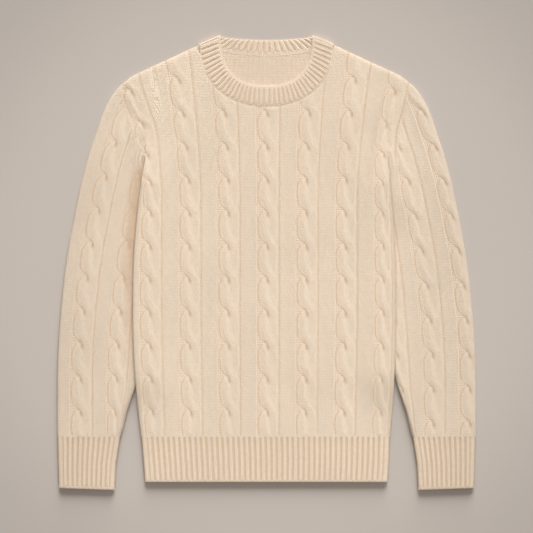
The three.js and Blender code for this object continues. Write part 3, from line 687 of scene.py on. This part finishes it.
def make_sleeve(name, shape):
    s = sizes()
    side, first, spacing = shape["side"], shape["first"], shape["spacing"]
    middles = first / spacing + np.arange(-1, 4)
    upper = cable_lines(middles, spacing) * spacing
    fold = np.array([0, 0.35, 0.9, 1.8, 3, 4.6])
    upper = np.concatenate([fold, upper[(upper > 5.8) & (upper < 126)], [128, 130, 131.5, 132.6, 133.4, SLEEVE_WIDTH]])
    under = np.array([132.6, 130, 126, 118, 106, 92, 78, 64, 50, 36, 22, 12, 6, 3, 1.2, 0])
    lines = np.concatenate([upper, under])
    bottom = np.concatenate([np.zeros(len(upper), bool), np.ones(len(under), bool)])
    across, below, x, y = sleeve_skin(shape, lines, bottom, 216, 56)
    number = np.round((across - first) / spacing)
    from_cable = -side * (across - first - number * spacing)
    up = y - shape["crossing"]
    turn = (CROSSING_LINE_DROP - up) / shape["pitch"]
    relief, place, even = cable_cloth(from_cable, turn)
    line = -side * (across - first) / spacing
    seam = edge_at(side, y) + ARMHOLE_GAP
    joined = ease(*JOINS, y)
    clear = mix(ease(*RELIEF_CLEARS, x - seam), 1, joined)
    to_cuff = y - RIB_TOP_Y
    knitted = np.where(number > shape["last"], ease(152, 136, y), 1)
    relief = mix(STRIP_HEIGHT, relief, knitted)
    shown = knitted * ease(0, 3, to_cuff) * (1 - below)
    # The body's outer cable runs over the armhole's seam on to the sleeve.
    body_pitch = s.cable_pitch / MM
    body_line = outer_cable(side * x, y)
    beyond = (np.abs(body_line) - CABLES_EACH_SIDE) * body_pitch
    near = ease(22, 19, beyond) * joined * (1 - below)
    on_body = near > 0.5
    body_relief, _, body_even = cable_cloth(side * beyond, body_turn(body_line, y))
    relief = mix(relief, body_relief, near)
    shown = shown * np.where(on_body, ease(0.5, 0.9, near), ease(0.5, 0.1, near))
    line = np.where(on_body, body_line, line)
    turn = np.where(on_body, body_turn(body_line, y), turn)
    pitch = np.where(on_body, body_pitch, spacing)
    folds = creases(side * x, y) * ease(0, 20, to_cuff)
    level = FRONT_HEIGHT - (FRONT_HEIGHT - shape["tucked"]) * ease(shape["valley"], -6, x - seam) * (1 - joined)
    level = level + body_lift(side * x, y) * ease(*shape["follows"], y) * ease(45, 2, x - seam)
    flat = level + clear * (mix(SEAM_HEIGHT, relief, ease(0, 5, to_cuff)) + folds) - SEAM_STEP * ease(3, 0, x - seam)
    z = mix(MID_HEIGHT, np.where(below, 0, flat), sleeve_rise(x, y))
    stitch = (place - side * number * spacing) * MM / s.stitch_width
    # Painted shadow of the body's raised edge on the sleeve beside it, added to the painted shade in the creases.
    beside = ease(*shape["shaded"], x - seam) * (1 - joined) * ease(-260, 60, y)
    outer = {"x": side * x, "y": y, "z": z, "across": stitch, "along": up * MM / s.stitch_height}
    outer.update(line=line, turn=turn, shown=shown, spacing=pitch, even=np.minimum(even, np.where(on_body, body_even, 1)))
    outer.update(hollow=np.where(below, 0, np.maximum(hollow(side * x, y), shape["shade"] * beside)))
    across, below, x, y = sleeve_skin(shape, lines, bottom, 16, 8, WALL)
    z = mix(MID_HEIGHT, np.where(below, WALL, FRONT_HEIGHT - WALL), sleeve_rise(x, y, WALL))
    inner = {"x": side * x, "y": y, "z": z, "across": across * MM / s.stitch_width, "along": y * MM / s.stitch_height}
    inner = {key: v[:, ::-1] for key, v in inner.items()}
    outer, inner = ({key: v[:: -side] for key, v in skin.items()} for skin in (outer, inner))
    piece = shaped_cloth(name + "_knit", outer, inner, tube=True)
    settle(piece, "cable_knit")


# Ribbing

def rib_columns(ribs, parts, margin):
    """Shares of a tube's width where its lines stand, close together at its two folds."""
    even = np.arange(ribs * parts + 1) / (ribs * parts)
    fold = np.array([0, 0.04, 0.12, 0.25, 0.45, 0.7]) * margin
    return np.concatenate([fold, even[(even > margin) & (even < 1 - margin)], 1 - fold[::-1]])


def ribbed_tube(name, start, end, ribs, margin):
    """A flat ribbed tube between two edges, each an array of [x, y] points from the free edge up."""
    s = sizes()
    upper = rib_columns(ribs, 8, margin)
    under = rib_columns(ribs, 6, margin)[::-1][1:]
    at = np.concatenate([upper, under])[:, None]
    below = np.concatenate([np.zeros(len(upper), bool), np.ones(len(under), bool)])[:, None]
    known = np.linspace(0, 1, len(start))

    def skin(rows, inset, top, bottom):
        from_x, from_y, to_x, to_y = (np.interp(rows, known, v)[None, :] for v in (*start.T, *end.T))
        width = np.abs(to_x - from_x)
        distance = mix(inset, width - inset, at)
        radius = FOLD_RADIUS - inset
        rise = round_over(distance - inset, radius) * round_over(width - distance - inset, radius)
        length = rows[None, :] * (from_y[0, -1] - from_y[0, 0])
        place = distance / width
        return {
            "x": mix(from_x, to_x, place),
            "y": mix(from_y, to_y, place),
            "z": mix(MID_HEIGHT, np.where(below, bottom(length), top(length)), rise),
            "across": np.broadcast_to(at * ribs * 2 - 0.5, place.shape),
            "along": length * MM / s.stitch_height + 0 * place,
        }

    rib = s.rib_height / MM
    high = rib_height(at * ribs)
    total = start[-1, 1] - start[0, 1]
    rows = np.concatenate([[0, 0.006, 0.014, 0.028, 0.045], np.linspace(0.07, 0.88, 13), [0.91, 0.93, 0.95, 0.97, 0.985, 1]])
    outer = skin(
        rows,
        0,
        lambda length: FRONT_HEIGHT
        + mix(rib * high * ease(-1, 4.5, length), SEAM_HEIGHT, ease(total - 8, total, length))
        - 0.4 * edge_roll(length),
        lambda length: 0.7 * rib * (1 - high) * ease(0, 4, length) + 0.7 * edge_roll(length),
    )
    valley = (1 - high) * ease(1, 6, rows[None, :] * total)
    # Painted shade deep in the valleys between the ribs.
    outer.update(crevice=0.85 * ease(0.25, 0.95, valley), purl=ease(0.4, 0.7, valley))
    inner = skin(np.linspace(1, 0, 4), WALL, lambda _: FRONT_HEIGHT - WALL, lambda _: WALL)
    piece = shaped_cloth(name + "_knit", outer, inner, tube=True)
    settle(piece, "rib_knit")


def make_hem():
    start = np.array([[-row["left"], row["y"]] for row in HEM])
    end = np.array([[row["right"], row["y"]] for row in HEM])
    ribbed_tube("hem_band", start, end, sizes().hem_ribs, 0.022)


def make_cuff(name, side):
    outer = np.array([[side * row["outer"], row["outer_y"]] for row in CUFF])
    inner = np.array([[side * row["inner"], row["inner_y"]] for row in CUFF])
    start, end = (inner, outer) if side > 0 else (outer, inner)
    ribbed_tube(name, start, end, sizes().cuff_ribs, 0.085)


def make_neckband():
    s = sizes()
    seam_half = NECK_HALF - SEAM_GAP
    angle = np.linspace(0, np.pi, 801)
    seam_curve = scoop(seam_half, NECK_Y, FRONT_NECK_DROP - SEAM_GAP, NECK_SQUARENESS, angle)
    free_curve = scoop(BAND_HALF, BAND_Y, BAND_FRONT_DROP, BAND_SQUARENESS, angle)
    length = np.append(0, np.cumsum(np.hypot(*np.diff(seam_curve, axis=0).T)))

    def along(points, share):
        return np.stack([np.interp(share * length[-1], length, axis) for axis in points.T], axis=-1)

    front_at = np.linspace(0, 1, s.neck_front_ribs * 8 + 1)
    back_at = np.linspace(0, 1, s.neck_back_ribs * 8 + 1)
    turns = (np.arange(7) + 1) / 8
    across = 1 - 2 * back_at
    back_seam = np.stack([seam_half * across, back_neck_y(seam_half * across) - SEAM_GAP], axis=-1)
    back_free = np.stack([BAND_HALF * across, BAND_Y - BAND_BACK_DROP * (1 - across**2)], axis=-1)
    out = np.array([BAND_Y - NECK_Y, seam_half - BAND_HALF]) / np.hypot(BAND_Y - NECK_Y, seam_half - BAND_HALF)

    def corner(side, turn):
        tilt = np.pi / 2 * (1 - 2 * turn)
        away = (BAND_FRONT_Z - BAND_BACK_Z) / 2 * np.cos(tilt)[:, None] * (out * [side, 1])[None, :]
        normal = np.stack([side * out[0] * np.cos(tilt), out[1] * np.cos(tilt), np.sin(tilt)], axis=-1)
        level = mix(BAND_BACK_Z, BAND_FRONT_Z, (1 + np.sin(tilt)) / 2)
        return [side * seam_half, NECK_Y] + away, [side * BAND_HALF, BAND_Y] + away, normal, level

    right = corner(1, turns)
    left = corner(-1, turns[::-1])
    up = np.array([[0, 0, 1.0]])
    seam = np.concatenate([along(seam_curve, front_at), right[0], back_seam, left[0]])
    free = np.concatenate([along(free_curve, front_at), right[1], back_free, left[1]])
    count = (len(front_at), len(turns), len(back_at), len(turns))
    normal = np.concatenate([np.repeat(up, count[0], 0), right[2], -np.repeat(up, count[2], 0), left[2]])
    level = np.concatenate([np.full(count[0], BAND_FRONT_Z), right[3], np.full(count[2], BAND_BACK_Z), left[3]])
    front_rib = np.concatenate([rib_height(front_at * s.neck_front_ribs), np.zeros(len(seam) - count[0])])
    covered = ease(0.98, 0.9, np.abs(across))
    back_rib = np.zeros(len(seam))
    back_rib[count[0] + count[1] : -count[3]] = rib_height(back_at * s.neck_back_ribs) * covered
    on_back = np.zeros(len(seam))
    on_back[count[0] + count[1] : -count[3]] = covered

    faces = np.array([0, 0.02, 0.06, 0.11, 0.17, 0.24, 0.31, 0.38, 0.5, 0.62, 0.72, 0.8, 0.85, 0.9, 0.94, 0.975, 1])
    at = np.concatenate([faces, faces[::-1][1:]])[None, :]
    inner = np.concatenate([np.zeros(len(faces), bool), np.ones(len(faces) - 1, bool)])[None, :]
    thick = BAND_WALL / 2 * np.maximum(np.sqrt(np.clip(1 - (2 * at - 1) ** 8, 0, 1)), np.where(inner, 0.97, 0.75) * (at < 0.5))
    shown = ease(0.02, 0.1, at) * (1 - ease(0.83, 0.9, at))
    shown_back = ease(0.25, 0.31, at) * (1 - ease(0.92, 0.98, at))
    rib_top = 0.75 * s.rib_height / MM
    ridge = (0.12 * np.exp(-(((at - 0.15) / 0.07) ** 2)) - 0.55) * on_back[:, None]
    outer_height = thick + rib_top * (front_rib[:, None] - 0.35 * (1 - np.abs(normal[:, 2:]))) * shown
    inner_height = thick + rib_top * back_rib[:, None] * shown_back + ridge
    height = np.where(inner, -inner_height, outer_height)
    height[:, -1] = height[:, 0]
    middle_x = mix(seam[:, :1], free[:, :1], at)
    middle_y = mix(seam[:, 1:], free[:, 1:], at)
    x = middle_x + normal[:, :1] * height
    y = middle_y + normal[:, 1:2] * height
    z = level[:, None] + normal[:, 2:] * height
    is_front = np.zeros(len(seam))
    is_front[: count[0]] = 1
    # Painted shade in the valleys between the ribs and in the groove of the linking seam.
    valley = np.where(inner, (1 - back_rib[:, None]) * shown_back * on_back[:, None],
                      (1 - front_rib[:, None]) * shown * is_front[:, None])
    linking = np.exp(-(((at - 0.015) / 0.02) ** 2))
    crevice = ease(0.25, 0.95, valley) * np.where(inner, 0.75, 0.7) + 0.3 * linking * is_front[:, None]
    ribs = np.concatenate([front_at * s.neck_front_ribs, turns, back_at * s.neck_back_ribs, turns]) * 2 - 0.5
    ring = {"x": x, "y": y, "z": z, "across": ribs[:, None] + 0 * at, "along": at * 13 + 0 * ribs[:, None]}
    ring.update(crevice=crevice, purl=ease(0.4, 0.7, valley))
    ring = {key: np.vstack([v, v[:1]]) for key, v in ring.items()}
    outer = {key: v[:, : len(faces)] for key, v in ring.items()}
    inner = {key: v[:, len(faces) : -1] for key, v in ring.items()}
    piece = shaped_cloth("neckband_knit", outer, inner, tube=True)
    settle(piece, "rib_knit")


# Finishes

LADDER = 0.7  # rungs of purl to a stitch
# Painted falloff of light on the wool: from one distance off the middle to the next it darkens by a share towards
# black.
WOOL_FALLOFF_SPAN = (0.17, 0.33)
WOOL_FALLOFF_SHADE = 0.11
WOOL_SOFTENS = 2.9
STREAK_MEAN = 0.36
DEEPER = {"cable_knit": 0.1, "plain_knit": 0.25, "rib_knit": 0.08}
# Painted pool of light on the surface: from one distance off the middle to the next it darkens to a share of its
# colour.
SURFACE_FALLOFF_SPAN = (0.36, 0.60)
SURFACE_FALLOFF_SHADE = 0.83


class Wire:
    """A socket of a shader. Arithmetic on it adds the shader's maths."""

    def __init__(self, socket):
        self.socket = socket

    def node(self, kind, settings=None, sockets=None, out=0):
        """Adds a node beside this one, with its settings and the values or links of its sockets."""
        return add_node(self.socket.id_data, kind, settings, sockets, out)

    def maths(self, operation, *values):
        sockets = dict(enumerate(values))
        return self.node("ShaderNodeMath", {"operation": operation}, sockets)

    def __add__(self, other):
        return self.maths("ADD", self, other)

    def __radd__(self, other):
        return self.maths("ADD", other, self)

    def __sub__(self, other):
        return self.maths("SUBTRACT", self, other)

    def __rsub__(self, other):
        return self.maths("SUBTRACT", other, self)

    def __mul__(self, other):
        return self.maths("MULTIPLY", self, other)

    def __rmul__(self, other):
        return self.maths("MULTIPLY", other, self)

    def __truediv__(self, other):
        return self.maths("DIVIDE", self, other)

    def __pow__(self, other):
        return self.maths("POWER", self, other)

    def fract(self):
        return self.maths("FRACT", self)

    def sine(self):
        return self.maths("SINE", self)

    def size(self):
        return self.maths("ABSOLUTE", self)

    def bell(self):
        """1 at 0, and falling away smoothly on both sides."""
        return self.maths("EXPONENT", 0 - self * self)

    def between(self, low, high):
        """Rises from 0 to 1 between two values."""
        sockets = {"Value": self, "From Min": low, "From Max": high}
        return self.node("ShaderNodeMapRange", {"interpolation_type": "SMOOTHSTEP"}, sockets)


def add_node(tree, kind, settings=None, sockets=None, out=0):
    made = tree.nodes.new(kind)
    for name, value in (settings or {}).items():
        setattr(made, name, value)
    for key, value in (sockets or {}).items():
        if isinstance(value, Wire):
            tree.links.new(value.socket, made.inputs[key])
        else:
            made.inputs[key].default_value = value
    return Wire(made.outputs[out])


def mixed(amount, first, second):
    """Two colours mixed by a value."""
    sockets = {"Factor": amount, "A": first, "B": second}
    made = amount.node("ShaderNodeMix", {"data_type": "RGBA"}, None)
    node = made.socket.node
    tree = made.socket.id_data
    tree.links.new(amount.socket, node.inputs[0])
    for index, value in ((6, first), (7, second)):
        if isinstance(value, Wire):
            tree.links.new(value.socket, node.inputs[index])
        else:
            node.inputs[index].default_value = (*value, 1)
    return Wire(node.outputs[2])


def new_material(name):
    material = bpy.data.materials.new(name)
    material.use_nodes = True
    tree = material.node_tree
    shader = next(node for node in tree.nodes if node.type == "BSDF_PRINCIPLED")
    return material, tree, shader


def attribute(tree, name):
    return add_node(tree, "ShaderNodeAttribute", {"attribute_name": name}, out=2)


def cable_marks(tree):
    """Painted shade in a cable's gutters and under its crossing strands, and how purl its cloth is, from its place on
    the cable.
    """
    x = ((attribute(tree, "line") + 0.5).fract() - 0.5) * attribute(tree, "spacing")
    turn = (attribute(tree, "turn") + 0.5).fract() - 0.5
    hook = turn.between(-HOOK["over"], HOOK["over"]) * HOOK["turn"] + turn.between(-0.5, 0.5) * HOOK["drift"] + HOOK["left"]
    arch = turn.between(ARCH["from"], ARCH["to"]) * ARCH["run"] + ARCH["top"]
    left = hook + (arch - hook) * turn.between(0.06, 0.12)
    beside = (left - x).between(-0.7, 0.5) * x.between(GUTTER["left_edge"] - 0.6, GUTTER["left_edge"] + 0.4)
    purl = beside + x.between(15.0, 15.8) * x.between(GUTTER["right_edge"] + 0.4, GUTTER["right_edge"] - 0.6)
    softer = 1 - (turn / 0.12).bell() * 0.6
    # Painted shade along both gutters, and painted shadow under the strand that crosses over.
    gutters = ((x - left + 0.3) / GUTTER["width"]).bell() * softer + ((x - GUTTER["right"]) / GUTTER["width"]).bell() * 1.3
    shade = turn.between(-0.08, 0.08) * turn.between(0.36, 0.14)
    under = ((x - hook) / (turn.between(0.08, 0.3) * 2.6 + 0.75)).bell() * shade
    shown = attribute(tree, "shown")
    return (gutters * 0.6 + beside * 0.3) * shown, under * shown, purl * shown


def wool_material(name):
    """Knitted wool: stitches in rows and columns, soft fibres, and a warmer painted shade between the stitches, in
    creases and towards the sides.
    """
    if name in bpy.data.materials and bpy.data.materials[name].get("knitted"):
        return bpy.data.materials[name]
    c = colours()
    material, tree, shader = new_material(name)
    material["knitted"] = True
    place = add_node(tree, "ShaderNodeTexCoord", out=3)
    stitch = add_node(tree, "ShaderNodeUVMap", {"uv_map": "Stitches"})
    across = stitch.node("ShaderNodeSeparateXYZ", None, {0: stitch}, 0)
    along = stitch.node("ShaderNodeSeparateXYZ", None, {0: stitch}, 1)
    if name == "cable_knit":
        crevice, under, purl = cable_marks(tree)
        even = attribute(tree, "even")
    else:
        crevice, purl = attribute(tree, "crevice"), attribute(tree, "purl")
        under, even = crevice * 0, crevice * 0 + 1
    fibres = place.node("ShaderNodeTexNoise", None, {"Vector": place, "Scale": 900, "Detail": 3, "Roughness": 0.7})
    wander = place.node("ShaderNodeTexNoise", None, {"Vector": place, "Scale": 160, "Detail": 2, "Roughness": 0.6})
    patches = place.node("ShaderNodeTexNoise", None, {"Vector": place, "Scale": 9, "Detail": 3, "Roughness": 0.55})

    # Each stitch of plain knitting is a pair of legs that lean away from its middle.
    side = ((across + (wander - 0.5) * 0.5).fract() - 0.5).size() * 2
    leg = (along - side * 0.55 + (wander - 0.5) * 0.4).fract()
    knit = ((leg * math.pi).sine() * 0.5 + 0.5) * ((side * math.pi).sine() ** 0.5)
    bump = ((along + (wander - 0.5) * 0.3).fract() * math.pi).sine() * (0.55 + 0.45 * ((across * 2 * math.pi).sine()))
    stitches = (knit + (bump - knit) * purl - 0.5) * even + 0.5
    height = stitches + (fibres - 0.5) * 0.9

    # Light goes into wool, so its ridges and troughs look softer than they are.
    normal = place.node("ShaderNodeNewGeometry", None, None, 1)
    upward = normal.node("ShaderNodeSeparateXYZ", None, {0: normal}, 2).between(0, 0.4) * WOOL_SOFTENS
    raised = upward.node("ShaderNodeCombineXYZ", None, {"Z": upward})
    softened = raised.node("ShaderNodeVectorMath", {"operation": "ADD"}, {0: raised, 1: normal})
    softened = softened.node("ShaderNodeVectorMath", {"operation": "NORMALIZE"}, {0: softened})
    relief = {"Strength": 0.8, "Distance": sizes().stitch_relief, "Height": height, "Normal": softened}
    bumped = height.node("ShaderNodeBump", None, relief)

    ladder = ((along * LADDER + (wander - 0.5) * 0.3).fract() * math.pi).sine()
    rungs = 1.6 - ladder * 1.1 if name == "cable_knit" else 1.1 - ladder * 0.2
    streak = (1 - STREAK_MEAN - (side * math.pi).sine()) * even + STREAK_MEAN
    # Painted shade from the gutters, the crossing strands, the rib valleys and the creases, with a set amount per
    # finish, pulls the colour towards the shade colour along with the stitch pattern and random tone.
    marks = crevice * rungs + under * 0.95 + attribute(tree, "hollow") * 0.5 + DEEPER[name]
    deep = marks + (1 - stitches) * 0.08 + streak * (1 - purl) * 0.5 + (wander - 0.5) * 0.4
    tone = mixed(patches.between(0.3, 0.7), [v * 0.97 for v in c.wool], [min(1, v * 1.03) for v in c.wool])
    tone = mixed((fibres - 0.35) * 0.7, tone, [v * 0.86 for v in c.wool])
    tone = mixed(deep.between(0.0, 1.15), tone, c.shade)
    # Painted shade: the wool darkens towards the sides, where the light falls off.
    painted_falloff = place.node("ShaderNodeSeparateXYZ", None, {0: place}, 0).size().between(*WOOL_FALLOFF_SPAN)
    tone = mixed(painted_falloff * WOOL_FALLOFF_SHADE, tone, (0, 0, 0))
    tree.links.new(tone.socket, shader.inputs["Base Color"])
    tree.links.new(bumped.socket, shader.inputs["Normal"])
    shader.inputs["Roughness"].default_value = 0.95
    shader.inputs["Specular IOR Level"].default_value = 0.15
    shader.inputs["Sheen Weight"].default_value = 0.25
    shader.inputs["Sheen Roughness"].default_value = 0.5
    return material


def surface_material():
    c = colours()
    material, tree, shader = new_material("surface")
    place = add_node(tree, "ShaderNodeTexCoord", out=3)
    grain = place.node("ShaderNodeTexNoise", None, {"Vector": place, "Scale": 3, "Detail": 4})
    # Painted pool of light: the surface darkens away from the middle.
    painted_falloff = place.node("ShaderNodeVectorMath", {"operation": "LENGTH"}, {0: place}, 1).between(*SURFACE_FALLOFF_SPAN)
    tone = mixed(grain, [v * 0.985 for v in c.surface], [v * 1.015 for v in c.surface])
    tone = mixed(painted_falloff, tone, [v * SURFACE_FALLOFF_SHADE for v in c.surface])
    tree.links.new(tone.socket, shader.inputs["Base Color"])
    shader.inputs["Roughness"].default_value = 0.9
    shader.inputs["Specular IOR Level"].default_value = 0.2
    return material


# Stage

CAMERA_LENS = 100
CAMERA_SENSOR = 36
VIEW_WIDTH = 0.826
VIEW_MIDDLE = (0, -0.0062)
CLOTH_LEVEL = 0.008
SUN_FROM = (0.12, 0.98, 0.29)
SUN_STRENGTH = 7.8
SUN_COLOUR = (0.95, 0.972, 1.0)
SUN_SOFTNESS = 0.6  # radians across
TOP_LIGHT = {"height": 2.7, "size": 1.6, "power": 12.9}
ROOM_STRENGTH = 0.32
ROOM_COLOUR = (1, 0.93, 0.84)


def make_stage():
    scene = bpy.context.scene
    bpy.ops.object.select_all(action="DESELECT")
    bpy.ops.mesh.primitive_plane_add(size=8)
    floor = bpy.context.object
    floor.name = "surface"
    floor.data.materials.append(surface_material())
    bpy.ops.object.light_add(type="SUN", location=SUN_FROM)
    sun = bpy.context.object
    sun.name = "window"
    sun.data.energy = SUN_STRENGTH
    sun.data.color = SUN_COLOUR
    sun.data.angle = SUN_SOFTNESS
    sun.rotation_euler = Vector(SUN_FROM).to_track_quat("Z", "Y").to_euler()
    bpy.ops.object.light_add(type="AREA", location=(0, 0, TOP_LIGHT["height"]))
    lamp = bpy.context.object
    lamp.name = "ceiling"
    lamp.data.shape = "DISK"
    lamp.data.size = TOP_LIGHT["size"]
    lamp.data.energy = TOP_LIGHT["power"]
    world = bpy.data.worlds.new("room")
    world.use_nodes = True
    background = world.node_tree.nodes["Background"]
    background.inputs["Color"].default_value = (*ROOM_COLOUR, 1)
    background.inputs["Strength"].default_value = ROOM_STRENGTH
    scene.world = world
    scene.view_settings.view_transform = "Standard"
    distance = VIEW_WIDTH * CAMERA_LENS / CAMERA_SENSOR
    bpy.ops.object.camera_add(location=(*VIEW_MIDDLE, CLOTH_LEVEL + distance), rotation=(0, 0, 0))
    camera = bpy.context.object
    camera.data.lens = CAMERA_LENS
    camera.data.sensor_width = CAMERA_SENSOR
    camera.data.clip_end = 20
    scene.camera = camera


class SWEATER_OT_front(bpy.types.Operator):
    """Knit the front panel with its seven cables"""

    bl_idname = "sweater.front"
    bl_label = "Front"

    def execute(self, context):
        make_front()
        return {"FINISHED"}


class SWEATER_OT_back(bpy.types.Operator):
    """Knit the plain back panel"""

    bl_idname = "sweater.back"
    bl_label = "Back"

    def execute(self, context):
        make_back()
        return {"FINISHED"}


class SWEATER_OT_sleeves(bpy.types.Operator):
    """Knit both sleeves with their cables"""

    bl_idname = "sweater.sleeves"
    bl_label = "Sleeves"

    def execute(self, context):
        make_sleeve("sleeve_left", SLEEVE_LEFT)
        make_sleeve("sleeve_right", SLEEVE_RIGHT)
        return {"FINISHED"}


class SWEATER_OT_hem(bpy.types.Operator):
    """Knit the ribbed band round the hem"""

    bl_idname = "sweater.hem"
    bl_label = "Hem band"

    def execute(self, context):
        make_hem()
        return {"FINISHED"}


class SWEATER_OT_cuffs(bpy.types.Operator):
    """Knit both ribbed cuffs"""

    bl_idname = "sweater.cuffs"
    bl_label = "Cuffs"

    def execute(self, context):
        make_cuff("cuff_left", 1)
        make_cuff("cuff_right", -1)
        return {"FINISHED"}


class SWEATER_OT_neckband(bpy.types.Operator):
    """Knit the ribbed band round the neck"""

    bl_idname = "sweater.neckband"
    bl_label = "Neckband"

    def execute(self, context):
        make_neckband()
        return {"FINISHED"}


class SWEATER_OT_stage(bpy.types.Operator):
    """Set up the surface, the lights and the camera"""

    bl_idname = "sweater.stage"
    bl_label = "Stage"

    def execute(self, context):
        make_stage()
        return {"FINISHED"}


PIECES = (
    SWEATER_OT_front,
    SWEATER_OT_back,
    SWEATER_OT_sleeves,
    SWEATER_OT_hem,
    SWEATER_OT_cuffs,
    SWEATER_OT_neckband,
    SWEATER_OT_stage,
)


class SWEATER_PT_panel(bpy.types.Panel):
    """Sizes, colours and pieces of the sweater"""

    bl_label = "Sweater"
    bl_space_type = "VIEW_3D"
    bl_region_type = "UI"
    bl_category = "Sweater"

    def draw(self, context):
        for group in (context.scene.sweater_sizes, context.scene.sweater_colours):
            column = self.layout.column()
            for name in type(group).__annotations__:
                column.prop(group, name)
        for piece in PIECES:
            self.layout.operator(piece.bl_idname)


CLASSES = (SweaterSizes, SweaterColours, *PIECES, SWEATER_PT_panel)


def register():
    for cls in CLASSES:
        bpy.utils.register_class(cls)
    bpy.types.Scene.sweater_sizes = PointerProperty(type=SweaterSizes)
    bpy.types.Scene.sweater_colours = PointerProperty(type=SweaterColours)


def unregister():
    del bpy.types.Scene.sweater_sizes
    del bpy.types.Scene.sweater_colours
    for cls in reversed(CLASSES):
        bpy.utils.unregister_class(cls)


def main():
    register()
    bpy.ops.sweater.front()
    bpy.ops.sweater.back()
    bpy.ops.sweater.sleeves()
    bpy.ops.sweater.hem()
    bpy.ops.sweater.cuffs()
    bpy.ops.sweater.neckband()
    bpy.ops.sweater.stage()


if __name__ == "__main__":
    main()
